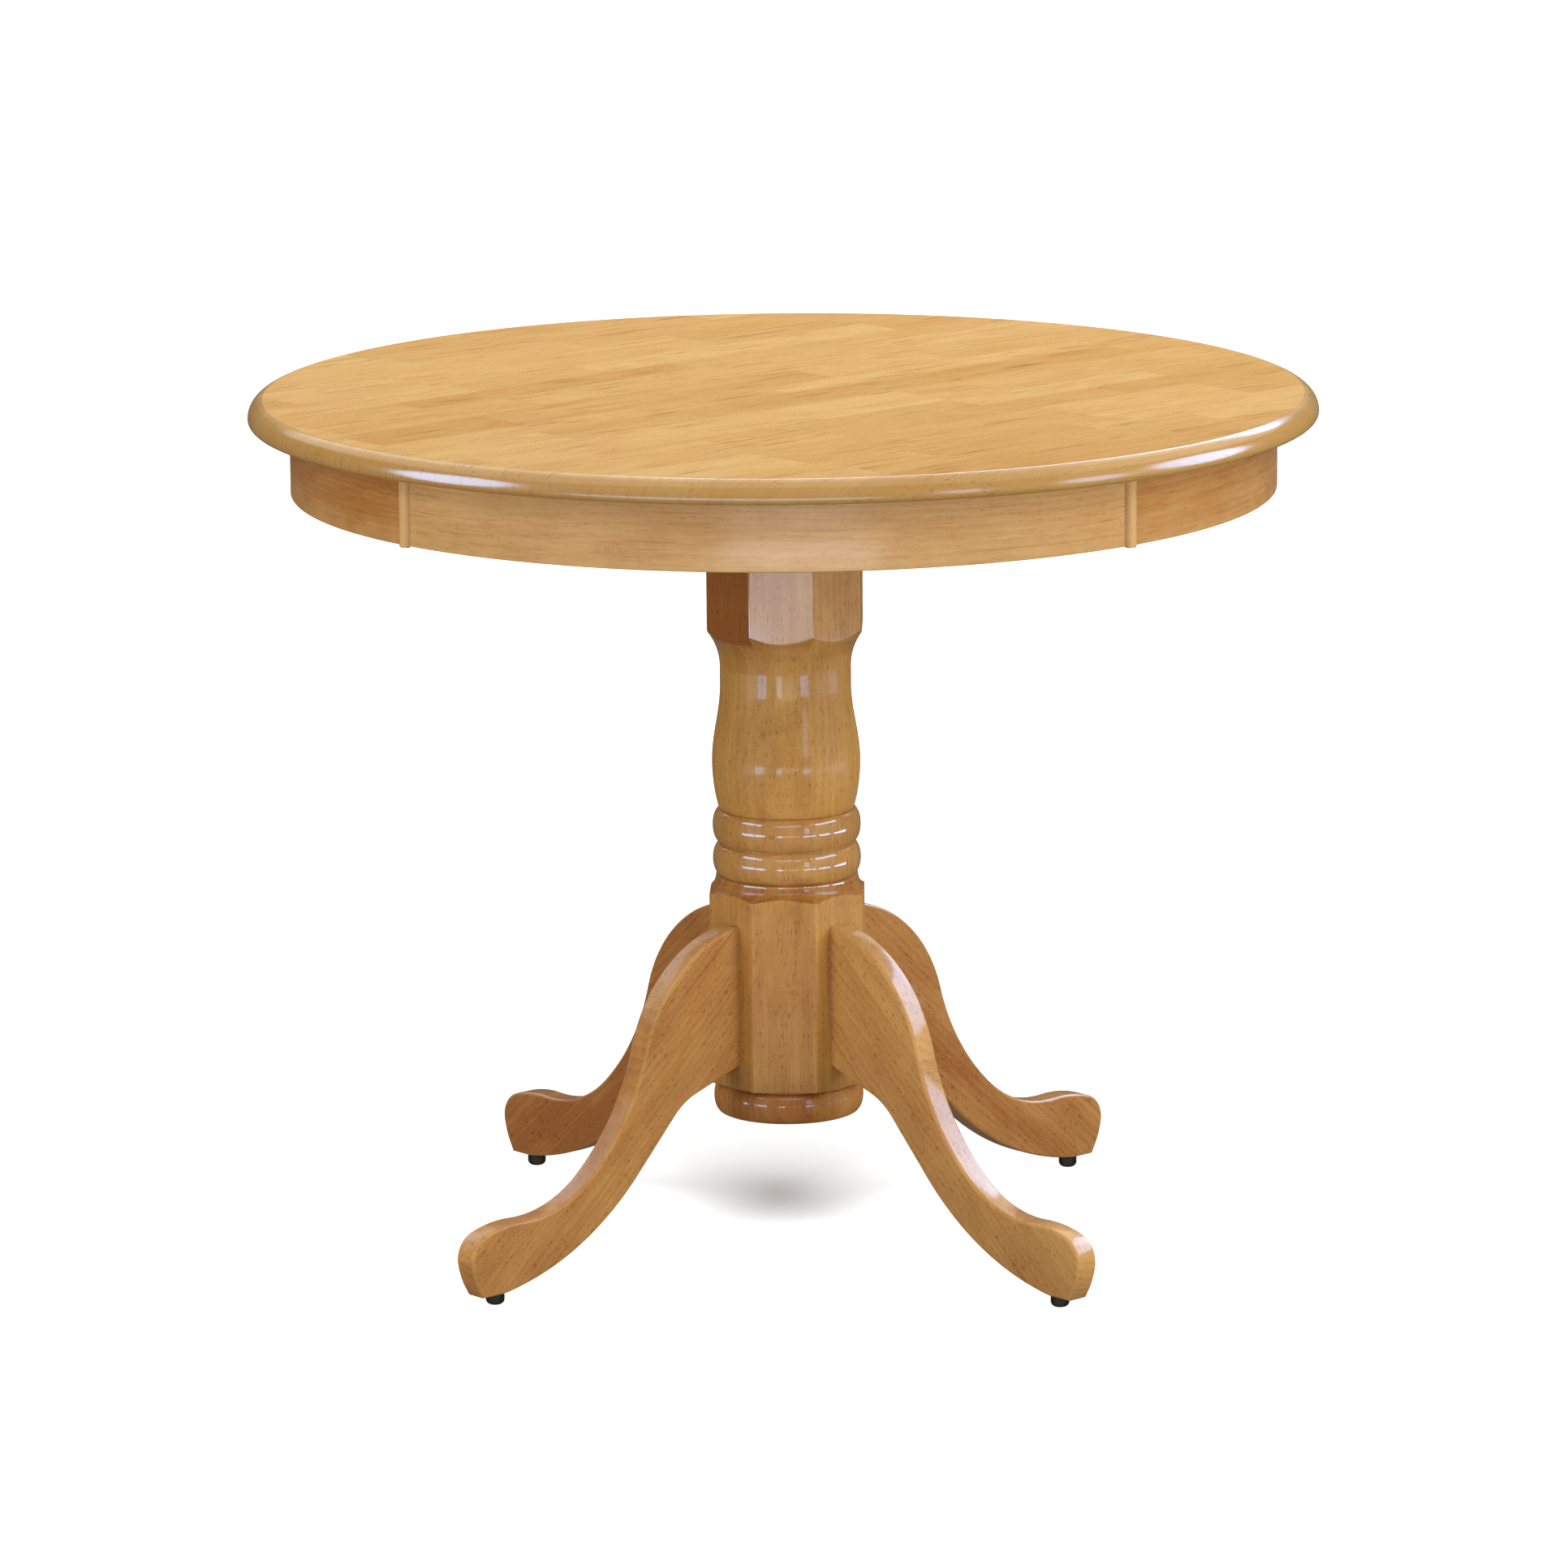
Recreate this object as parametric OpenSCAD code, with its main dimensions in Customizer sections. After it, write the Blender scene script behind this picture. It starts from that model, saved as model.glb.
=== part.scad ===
// Round pedestal table: a glued-up wooden top with a four-piece apron ring, a hollow
// column coopered from eight staves, four S-shaped legs and nail-on plastic glides.
// Origin: on the floor under the centre of the column. +Z is up and -Y is the front.

/* [Table] */
// Height of the top face above the floor
table_h = 742; // [725:1:760]
// Diameter of the top at its widest
top_d = 914; // [880:1:950]
// Thickness of the top
top_t = 20; // [18:0.5:25]
// Width of the rounded rim, from the flat face's edge to the widest point
rim_w = 12.2; // [8:0.1:16]
// Slope of the rim where it leaves the flat face, in degrees
rim_slope = 15; // [5:1:30]
// Radius that rounds the rim under
rim_under_r = 4.3; // [2:0.1:6]

/* [Apron] */
// Outer diameter of the apron ring
apron_d = 843; // [800:1:860]
// Height of the apron ring below the top
apron_h = 61; // [40:1:80]
// Thickness of the bent apron pieces
apron_t = 20; // [14:0.5:25]
// Width of the half-round strip that covers each apron joint
bead_w = 12; // [8:0.5:18]
// How far each strip stands out from the apron
bead_out = 4.8; // [3:0.1:6]
// How far each strip reaches below the apron
bead_drop = 1; // [0:0.5:3]
// Width of the block behind each apron joint
block_w = 70; // [50:1:90]
// Depth of that block, towards the table's centre
block_depth = 38; // [34:1:50]
// Height of that block
block_h = 48; // [44:1:58]

/* [Column] */
// Width of the octagonal column across its flats
column_af = 132; // [120:1:144]
// Thickness of each stave
stave_t = 26; // [20:1:28]
// Height of the column's lower end above the floor
column_z0 = 112; // [100:1:125]
// Height where the groove above the base ring is cut
ring_top_z = 139; // [135:1:145]
// Height of the groove under the lower bead
low_groove_z = 321.5; // [317:0.5:326]
// Height of the groove between the two beads
mid_groove_z = 350; // [345:0.5:355]
// Height of the groove between the upper bead and the vase
top_groove_z = 380; // [375:0.5:385]
// Height of the widest part of the vase
belly_z = 421; // [410:1:430]
// Lower end of the narrow neck, where the vase starts
neck_z = 488; // [475:1:495]
// Lower end of the hollow curve under the upper block
cove_z = 503.5; // [495:0.5:510]
// Radius of the neck
neck_r = 56.5; // [54:0.5:58]
// Radius of the vase, the two beads and the base ring at their widest
belly_r = 64; // [62:0.5:66]
// Radius at the bottom of the grooves
groove_r = 57.5; // [56:0.5:60]

/* [Legs] */
// Thickness of the leg boards
leg_t = 22; // [18:0.5:26]
// Height of the leg's upper corner at the column
leg_top_z = 286; // [275:1:295]
// Height of the leg's cut foot above the floor
foot_z = 10; // [8:0.5:14]
// Distance of each glide from the table's centre line
glide_r = 337.5; // [325:0.5:345]

/* [Hardware] */
// Side of the square plate between the column and the top
plate_side = 300; // [260:1:340]
// Thickness of that plate
plate_t = 22; // [18:0.5:25]
// Diameter of the hanger bolts that hold the legs
hanger_d = 8; // [6:1:10]
// Height of the lower hanger bolt in each leg
low_hanger_z = 193; // [190:1:200]
// Height of the upper hanger bolt in each leg
top_hanger_z = 254; // [245:1:260]
// Diameter of the locating dowel in each leg
dowel_d = 10; // [8:1:12]
// Length of that dowel
dowel_l = 40; // [30:1:46]
// Diameter of the bolts between the plate and the top
bolt_d = 6; // [5:1:8]
// Diameter of the glides
glide_d = 16; // [12:0.5:20]

/* [Hidden] */
$fn = 96;

gap = 0.1;                        // play around every screw, bolt and dowel
arc_steps = 8;                    // straight pieces in each curve of an outline
over = 1;                         // how far a cutting shape overruns what it cuts

// Directions of the four diagonals, counted from +X
DIAGONALS = [225, 315, 45, 135];  // front left, front right, back right, back left

top_z0 = table_h - top_t;         // underside of the top
apron_z0 = top_z0 - apron_h;
apron_r = apron_d / 2;
plate_z0 = top_z0 - plate_t;      // underside of the plate, top of the column
flat_r = column_af / 2;           // centre line to an outer flat
corner_r = flat_r / cos(22.5);    // centre line to an outer corner
bore_r = flat_r - stave_t;        // centre line to an inner flat

// Points of an arc about centre c, from angle a0 to a1
function arc(c, r, a0, a1, n = arc_steps) =
    [for (i = [0:n]) let (a = a0 + (a1 - a0) * i / n) c + r * [cos(a), sin(a)]];

// Where an arc walk ends: from p, heading h, turning by t on radius r
function arc_end(p, h, r, t) =
    p + 2 * r * sin(abs(t) / 2) * [cos(h + t / 2), sin(h + t / 2)];

// Points of a path of arcs, each step being [radius, turn]; the first point is left out
function walk(p, h, steps, k = 0) =
    k >= len(steps) ? [] :
    let (r = steps[k][0], t = steps[k][1])
    concat([for (i = [1:arc_steps]) arc_end(p, h, r, t * i / arc_steps)],
           walk(arc_end(p, h, r, t), h + t, steps, k + 1));

// Turns what is drawn along +X to direction a at height z
module toward(a, z = 0) {
    rotate([0, 0, a]) translate([0, 0, z]) children();
}

// A round bar along +X from radius r0 to radius r1
module radial_bar(r0, r1, d) {
    translate([r0, 0, 0]) rotate([0, 90, 0]) cylinder(h = r1 - r0, d = d);
}

// ---------- top ----------

rim_r = rim_w / (1 - sin(rim_slope));            // radius of the rounded rim
rim_low_z = table_h - rim_r * cos(rim_slope);    // height of the widest point

// Outline of the top's edge, from the centre of the face round to the underside
function top_outline() = concat(
    [[0, top_z0], [0, table_h]],
    arc([top_d / 2 - rim_r, rim_low_z], rim_r, 90 - rim_slope, 0, 12),
    arc([top_d / 2 - rim_under_r, top_z0 + rim_under_r], rim_under_r, 0, -90, 6));

insert_d = bolt_d + 4;
insert_l = 13;
bolt_edge = 30;                                  // from the plate's edge to its bolts
bolt_reach = plate_side / 2 - bolt_edge;         // bolts' distance from the centre lines
BOLT_SPOTS = [for (x = [-1:1], y = [-1:1]) if (x != 0 || y != 0) bolt_reach * [x, y]];

module table_top() {
    color([0.87, 0.70, 0.45]) difference() {
        rotate_extrude() polygon(top_outline());
        for (s = BOLT_SPOTS) translate([s[0], s[1], top_z0 - over])
            cylinder(h = insert_l + gap + over, d = insert_d);
        for (a = DIAGONALS) apron_top_screws(a, screw_d + 2 * gap, over);
    }
}

// ---------- apron ----------

screw_d = 4;
screw_head_d = 2 * screw_d;
screw_head_t = 3;
head_hole_d = screw_head_d + 2;                  // wide hole that a screw's head goes down
block_r0 = apron_r - apron_t - block_depth;      // inner face of the corner blocks
top_screw_l = 40;                                // screws up through the block into the top
top_screw_r = block_r0 + 12;
top_screw_z = top_z0 + 11 - top_screw_l;         // they end 11 above the top's underside
side_screw_l = 30;                               // screws out through the block into the apron
side_screw_r = apron_r - 6 - side_screw_l;       // they end 6 short of the outer face
side_screw_z = apron_z0 + 30;

module ring_quarter(a, r0, r1, z0, z1) {
    toward(a) intersection() {
        translate([0, 0, z0]) difference() {
            cylinder(h = z1 - z0, r = r1, $fn = 180);
            translate([0, 0, -over]) cylinder(h = z1 - z0 + 2 * over, r = r0, $fn = 180);
        }
        rotate([0, 0, -45]) translate([0, 0, z0]) cube([r1 + over, r1 + over, z1 - z0]);
    }
}

// Where the two screws of each block run: both beside the joint
module at_block_screws(a) {
    for (s = [-1, 1]) toward(a) translate([0, s * block_w / 4, 0]) children();
}

module apron_top_screws(a, d, extra = 0) {
    at_block_screws(a) translate([top_screw_r, 0, top_screw_z - extra])
        cylinder(h = top_screw_l + 2 * extra, d = d);
}

module apron_side_screws(a, d) {
    at_block_screws(a) translate([0, 0, side_screw_z])
        radial_bar(side_screw_r, side_screw_r + side_screw_l, d);
}

// One quarter of the bent ring, centred on direction a
module apron_segment(a) {
    color([0.80, 0.62, 0.39]) difference() {
        ring_quarter(a, apron_r - apron_t, apron_r, apron_z0, top_z0);
        for (b = [a - 45, a + 45]) apron_side_screws(b, screw_d + 2 * gap);
    }
}

// Half-round strip that covers a joint; its back follows the apron
module apron_bead(a) {
    bead_r = (bead_w * bead_w / 4 + bead_out * bead_out) / (2 * bead_out);
    bead_h = apron_h + bead_drop;
    color([0.80, 0.62, 0.42]) toward(a, apron_z0 - bead_drop) difference() {
        translate([apron_r + bead_out - bead_r, 0, 0]) cylinder(h = bead_h, r = bead_r);
        translate([0, 0, -over]) cylinder(h = bead_h + 2 * over, r = apron_r, $fn = 180);
    }
}

// Block glued behind a joint, its outer face bent to the ring
module apron_block(a) {
    block_z0 = top_z0 - block_h;
    color([0.76, 0.60, 0.40]) difference() {
        toward(a) intersection() {
            translate([block_r0, -block_w / 2, block_z0])
                cube([block_depth + apron_t, block_w, block_h]);
            translate([0, 0, apron_z0]) cylinder(h = apron_h, r = apron_r - apron_t, $fn = 180);
        }
        apron_top_screws(a, screw_d + 2 * gap);
        at_block_screws(a) translate([top_screw_r, 0, block_z0 - over])
            cylinder(h = top_screw_z - block_z0 + 2 * over, d = head_hole_d);
        apron_side_screws(a, screw_d + 2 * gap);
        at_block_screws(a) translate([0, 0, side_screw_z])
            radial_bar(block_r0 - over, side_screw_r + over, head_hole_d);
    }
}

module apron_screws() {
    color([0.75, 0.73, 0.66]) for (a = DIAGONALS) {
        apron_top_screws(a, screw_d);
        at_block_screws(a) translate([top_screw_r, 0, top_screw_z + over - screw_head_t])
            cylinder(h = screw_head_t, d = screw_head_d);
        apron_side_screws(a, screw_d);
        at_block_screws(a) translate([0, 0, side_screw_z])
            radial_bar(side_screw_r + over - screw_head_t, side_screw_r + over, screw_head_d);
    }
}

// ---------- mounting plate ----------

bolt_l = 30;
bolt_head_d = 2.2 * bolt_d;
bolt_head_t = 3.5;
bolt_key = 4;                                    // width of the socket for the hex key
bolt_key_depth = 2.5;
washer_t = 1.5;
plate_screw_l = 70;                              // screws down through the plate into the column
plate_screw_d = 5;
plate_screw_head_d = 2 * plate_screw_d;
plate_screw_head_t = 3;
plate_screw_low = 0.5;                           // how far their heads lie below the surface
PLATE_SCREW_SPOTS = [for (a = DIAGONALS) 20 * [cos(a), sin(a)]];
chamfer = 40;                                    // cut corners of the plate

module mounting_plate() {
    h = plate_side / 2;
    c = h - chamfer;
    color([0.78, 0.64, 0.45]) difference() {
        translate([0, 0, plate_z0]) linear_extrude(plate_t)
            polygon([[h, -c], [h, c], [c, h], [-c, h], [-h, c], [-h, -c], [-c, -h], [c, -h]]);
        for (s = BOLT_SPOTS) translate([s[0], s[1], plate_z0 - over])
            cylinder(h = plate_t + 2 * over, d = bolt_d + 1);
        for (s = PLATE_SCREW_SPOTS) translate([s[0], s[1], plate_z0 - over]) {
            cylinder(h = plate_t + 2 * over, d = plate_screw_d + 2 * gap);
            translate([0, 0, plate_t + over - plate_screw_head_t - 2 * plate_screw_low])
                cylinder(h = plate_screw_head_t + 2 * over, d = plate_screw_head_d + 1);
        }
    }
}

module plate_inserts() {
    color([0.80, 0.66, 0.36]) for (s = BOLT_SPOTS) translate([s[0], s[1], top_z0])
        difference() {
            cylinder(h = insert_l, d = insert_d);
            translate([0, 0, -over]) cylinder(h = insert_l + 2 * over, d = bolt_d + gap);
        }
}

module plate_bolts() {
    z = plate_z0 - washer_t;
    color([0.72, 0.72, 0.72]) for (s = BOLT_SPOTS) translate([s[0], s[1], z])
        difference() {
            union() {
                cylinder(h = bolt_l, d = bolt_d);
                translate([0, 0, -bolt_head_t]) cylinder(h = bolt_head_t, d = bolt_head_d);
            }
            translate([0, 0, -bolt_head_t - over])
                cylinder(h = bolt_key_depth + over, d = bolt_key / cos(30), $fn = 6);
        }
}

module plate_washers() {
    color([0.75, 0.75, 0.75]) for (s = BOLT_SPOTS)
        translate([s[0], s[1], plate_z0 - washer_t]) difference() {
            cylinder(h = washer_t, d = 3 * bolt_d);
            translate([0, 0, -over]) cylinder(h = washer_t + 2 * over, d = bolt_d + 0.6);
        }
}

module plate_screws() {
    color([0.75, 0.73, 0.66]) for (s = PLATE_SCREW_SPOTS)
        translate([s[0], s[1], top_z0 - plate_screw_low]) union() {
            translate([0, 0, -plate_screw_l]) cylinder(h = plate_screw_l, d = plate_screw_d);
            translate([0, 0, -plate_screw_head_t])
                cylinder(h = plate_screw_head_t, d = plate_screw_head_d);
        }
}

// ---------- column ----------

head_block_l = 60;

// Octagonal plug glued into the top of the hollow column
module column_head_block() {
    color([0.76, 0.60, 0.40]) difference() {
        translate([0, 0, plate_z0 - head_block_l]) rotate([0, 0, 22.5])
            cylinder(h = head_block_l, r = bore_r / cos(22.5), $fn = 8);
        for (s = PLATE_SCREW_SPOTS) translate([s[0], s[1], top_z0 - plate_screw_l - over])
            cylinder(h = plate_screw_l, d = plate_screw_d + 2 * gap);
    }
}

// Half of a bead's outline, or all of it, as half of an ellipse between two grooves
function bead(z1, z0, r_in, r_out, n = 12) =
    [for (i = [1:n - 1]) let (a = 180 * i / n)
        [r_in + (r_out - r_in) * sin(a), (z1 + z0) / 2 + (z1 - z0) / 2 * cos(a)]];

cove_r = 51;                                     // radius of the hollow under the upper block
cove_turn = acos(1 - (corner_r + over - neck_r) / cove_r);
foot_cove_r = 14;                                // radius of the hollow over the lower block
foot_groove_r = 61.5;
foot_cove_turn = acos(1 - (corner_r + over - foot_groove_r) / foot_cove_r);
vase_r = 155;                                    // radius that rounds the vase in to its groove
groove_w = 1;                                    // width of the flat bottom of each groove
ring_groove_w = 2;                               // width of the groove above the base ring

ring_in_r = foot_groove_r - 3;                   // base ring's underside
ring_out_r = belly_r + 0.8;

// Outline of the turning, from the top end down; the octagonal blocks lie inside it
function turned_outline() = concat(
    [[0, plate_z0], [corner_r + over, plate_z0]],
    [for (i = [arc_steps:-1:0]) let (a = cove_turn * i / arc_steps)
        [neck_r + cove_r * (1 - cos(a)), cove_z + cove_r * sin(a)]],
    [for (i = [0:10]) let (s = i / 10)
        [neck_r + (belly_r - neck_r) * (1 - cos(180 * s)) / 2, neck_z + (belly_z - neck_z) * s]],
    [for (i = [1:5]) let (drop = (belly_z - top_groove_z) * i / 5)
        [belly_r - vase_r + sqrt(vase_r * vase_r - drop * drop), belly_z - drop]],
    let (z1 = top_groove_z - groove_w / 2, z0 = mid_groove_z + groove_w / 2)
        concat([[groove_r, z1]], bead(z1, z0, groove_r, belly_r), [[groove_r, z0]]),
    let (z1 = mid_groove_z - groove_w / 2, z0 = low_groove_z + groove_w / 2)
        concat([[groove_r, z1]], bead(z1, z0, groove_r, belly_r), [[groove_r + groove_w, z0]]),
    [for (i = [0:arc_steps]) let (a = foot_cove_turn * i / arc_steps)
        [foot_groove_r + foot_cove_r * (1 - cos(a)),
         low_groove_z - groove_w / 2 - foot_cove_r * sin(a)]],
    [[corner_r + over, ring_top_z + ring_groove_w + 0.5],
     [foot_groove_r, ring_top_z + ring_groove_w], [foot_groove_r, ring_top_z]],
    bead(ring_top_z, column_z0, ring_in_r, ring_out_r),
    [[ring_in_r, column_z0], [0, column_z0]]);

// One stave: a bevelled board, turned on the outside, centred on direction a
module column_stave(a, with_leg) {
    t = tan(22.5);
    color([0.69, 0.51, 0.28]) toward(a) difference() {
        intersection() {
            translate([0, 0, column_z0]) linear_extrude(plate_z0 - column_z0)
                polygon([[bore_r, -bore_r * t], [flat_r, -flat_r * t],
                         [flat_r, flat_r * t], [bore_r, bore_r * t]]);
            rotate_extrude(convexity = 6) polygon(turned_outline());
        }
        if (with_leg) {
            for (z = HANGER_Z) translate([0, 0, z])
                radial_bar(bore_r - over, flat_r + over, hanger_d + 2 * gap);
            translate([0, 0, dowel_z])
                radial_bar(flat_r - dowel_l / 2 - gap, flat_r + over, dowel_d);
        }
    }
}

// ---------- legs ----------

HANGER_Z = [low_hanger_z, top_hanger_z];
hanger_in_leg = 50;                              // length of hanger bolt inside the leg
dowel_z = (low_hanger_z + top_hanger_z) / 2;

// Upper edge, walked from the column: knee, shin, instep, rise of the toe, tip of the toe
// and the cut under the tip
UPPER_ARCS = [[127, -67.5], [202, 33.5], [108, 45], [109, -22], [23, -82], [68, -33]];
knee_heading = -7;
// Lower edge, walked from the foot back to the column: sole, straight shank, then a bend
sole_start = [glide_r + 2.5, foot_z - 0.6];
sole_heading = 174;
sole_r = 253;
sole_turn = -40;
shank_heading = sole_heading + sole_turn;
shank_l = 62.5;
bend_r = 62;
bend_turn = 28;
end_slope = 180 - shank_heading - bend_turn;     // slope of the last stretch, to the column
sole_end = arc_end(sole_start, sole_heading, sole_r, sole_turn);
bend_start = sole_end + shank_l * [cos(shank_heading), sin(shank_heading)];
bend_end = arc_end(bend_start, shank_heading, bend_r, bend_turn);
toe_end_r = glide_r + 14.5;                      // outer end of the foot's flat
toe_cut = 4;                                     // how far the outline runs on below the foot
leg_reach = 400;                                 // longer than any leg

// Outline of a leg board in its own plane: distance from the centre line, then height
function leg_outline() = concat(
    [[flat_r, leg_top_z]],
    walk([flat_r, leg_top_z], knee_heading, UPPER_ARCS),
    [[toe_end_r, foot_z - toe_cut], [sole_start[0], foot_z - toe_cut], sole_start],
    walk(sole_start, sole_heading, [[sole_r, sole_turn]]),
    [bend_start],
    walk(bend_start, shank_heading, [[bend_r, bend_turn]]),
    [[flat_r, bend_end[1] + (bend_end[0] - flat_r) * tan(end_slope)]]);

module leg(a) {
    color([0.70, 0.52, 0.30]) toward(a) difference() {
        intersection() {
            rotate([90, 0, 0]) translate([0, 0, -leg_t / 2]) linear_extrude(leg_t)
                polygon(leg_outline());
            translate([flat_r, -leg_t, foot_z]) cube([leg_reach, 2 * leg_t, leg_top_z]);
        }
        for (z = HANGER_Z) translate([0, 0, z])
            radial_bar(flat_r - over, flat_r + hanger_in_leg + gap, hanger_d + 2 * gap);
        translate([0, 0, dowel_z])
            radial_bar(flat_r - over, flat_r + dowel_l / 2 + gap, dowel_d);
        translate([glide_r, 0, foot_z - over])
            cylinder(h = nail_l + over + gap, d = nail_d + 2 * gap);
    }
}

washer_d = 18;
washer_h = 1.6;
spring_washer_d = 13.5;
spring_washer_h = 2;
nut_af = 13;                                     // width across flats
nut_h = 6.5;
bolt_stub = 3;                                   // hanger bolt left standing past its nut
nut_r = bore_r - washer_h - spring_washer_h - nut_h;

module at_hangers() {
    for (a = DIAGONALS, z = HANGER_Z) toward(a, z) children();
}

// A flat ring of inner diameter hanger_d, lying against radius r1
module hanger_ring(r1, d, t) {
    difference() {
        radial_bar(r1 - t, r1, d);
        radial_bar(r1 - t - over, r1 + over, hanger_d + 2 * gap);
    }
}

module leg_hanger_bolts() {
    color([0.72, 0.72, 0.72]) at_hangers()
        radial_bar(nut_r - bolt_stub, flat_r + hanger_in_leg, hanger_d);
}

module leg_washers() {
    color([0.75, 0.75, 0.75]) at_hangers()
        hanger_ring(bore_r, washer_d, washer_h);
}

module leg_spring_washers() {
    color([0.68, 0.68, 0.70]) at_hangers()
        hanger_ring(bore_r - washer_h, spring_washer_d, spring_washer_h);
}

module leg_nuts() {
    color([0.74, 0.74, 0.74]) at_hangers() difference() {
        translate([nut_r, 0, 0]) rotate([0, 90, 0])
            cylinder(h = nut_h, d = nut_af / cos(30), $fn = 6);
        radial_bar(nut_r - over, bore_r, hanger_d + 2 * gap);
    }
}

module leg_dowels() {
    color([0.82, 0.70, 0.50]) for (a = DIAGONALS) toward(a, dowel_z)
        radial_bar(flat_r - dowel_l / 2, flat_r + dowel_l / 2, dowel_d - 2 * gap);
}

// ---------- glides ----------

nail_d = 2.6;
nail_l = 16;                                     // length of nail inside the leg
nail_head_z = 4;
glide_round_r = 4.5;                             // rounding of the glide's lower edge

module glide(a) {
    r = glide_d / 2;
    color([0.08, 0.08, 0.08]) toward(a) translate([glide_r, 0, 0]) difference() {
        rotate_extrude() polygon(concat(
            [[0, 0]],
            arc([r - glide_round_r, glide_round_r], glide_round_r, -90, 0, 6),
            [[r, foot_z], [0, foot_z]]));
        translate([0, 0, nail_head_z]) cylinder(h = foot_z, d = nail_d + 2 * gap);
    }
}

module glide_nails() {
    color([0.75, 0.73, 0.66]) for (a = DIAGONALS) toward(a) translate([glide_r, 0, nail_head_z])
        cylinder(h = foot_z - nail_head_z + nail_l, d = nail_d);
}

// ---------- assembly ----------

table_top();
apron_segment(270);  // apron_front
apron_segment(0);  // apron_right
apron_segment(90);  // apron_back
apron_segment(180);  // apron_left
apron_bead(DIAGONALS[0]);  // apron_bead_front_left
apron_bead(DIAGONALS[1]);  // apron_bead_front_right
apron_bead(DIAGONALS[2]);  // apron_bead_back_right
apron_bead(DIAGONALS[3]);  // apron_bead_back_left
apron_block(DIAGONALS[0]);  // apron_block_front_left
apron_block(DIAGONALS[1]);  // apron_block_front_right
apron_block(DIAGONALS[2]);  // apron_block_back_right
apron_block(DIAGONALS[3]);  // apron_block_back_left
apron_screws();
mounting_plate();
plate_inserts();
plate_bolts();
plate_washers();
plate_screws();
column_head_block();
column_stave(270, false);  // column_stave_front
column_stave(315, true);  // column_stave_front_right
column_stave(0, false);  // column_stave_right
column_stave(45, true);  // column_stave_back_right
column_stave(90, false);  // column_stave_back
column_stave(135, true);  // column_stave_back_left
column_stave(180, false);  // column_stave_left
column_stave(225, true);  // column_stave_front_left
leg(DIAGONALS[0]);  // leg_front_left
leg(DIAGONALS[1]);  // leg_front_right
leg(DIAGONALS[2]);  // leg_back_right
leg(DIAGONALS[3]);  // leg_back_left
leg_hanger_bolts();
leg_washers();
leg_spring_washers();
leg_nuts();
leg_dowels();
glide(DIAGONALS[0]);  // glide_front_left
glide(DIAGONALS[1]);  // glide_front_right
glide(DIAGONALS[2]);  // glide_back_right
glide(DIAGONALS[3]);  // glide_back_left
glide_nails();
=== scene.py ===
"""Looks of the round pedestal table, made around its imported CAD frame.

Lengths are metres in the frame's own axes: +Z is up and -Y is the front. Sizes come from
the frame's boxes where they show there, and are named in millimetres where they don't.
"""

import math

import bmesh
import bpy
import numpy as np
from mathutils import Matrix, Vector

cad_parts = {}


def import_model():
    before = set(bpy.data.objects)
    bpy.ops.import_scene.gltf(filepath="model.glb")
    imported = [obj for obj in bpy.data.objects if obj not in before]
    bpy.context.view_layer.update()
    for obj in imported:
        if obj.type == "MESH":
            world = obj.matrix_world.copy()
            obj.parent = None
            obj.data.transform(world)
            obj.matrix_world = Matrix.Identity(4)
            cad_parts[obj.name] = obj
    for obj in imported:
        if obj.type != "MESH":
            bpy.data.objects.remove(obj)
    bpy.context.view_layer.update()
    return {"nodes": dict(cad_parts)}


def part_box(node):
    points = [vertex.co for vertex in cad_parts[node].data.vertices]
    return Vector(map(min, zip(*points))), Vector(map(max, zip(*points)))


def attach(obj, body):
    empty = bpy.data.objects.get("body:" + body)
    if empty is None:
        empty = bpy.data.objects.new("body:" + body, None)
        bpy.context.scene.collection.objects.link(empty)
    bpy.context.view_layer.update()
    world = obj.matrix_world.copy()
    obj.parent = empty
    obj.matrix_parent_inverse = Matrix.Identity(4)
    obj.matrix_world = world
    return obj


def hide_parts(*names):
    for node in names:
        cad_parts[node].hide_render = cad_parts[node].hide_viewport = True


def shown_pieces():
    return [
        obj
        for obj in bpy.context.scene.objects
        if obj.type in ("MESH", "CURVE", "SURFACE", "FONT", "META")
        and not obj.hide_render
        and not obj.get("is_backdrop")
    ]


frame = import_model()

MM = 0.001
SIDES = {"front": 270, "right": 0, "back": 90, "left": 180}
CORNERS = {"front_left": 225, "front_right": 315, "back_right": 45, "back_left": 135}


# ---------------------------------------------------------------- node graphs

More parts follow.
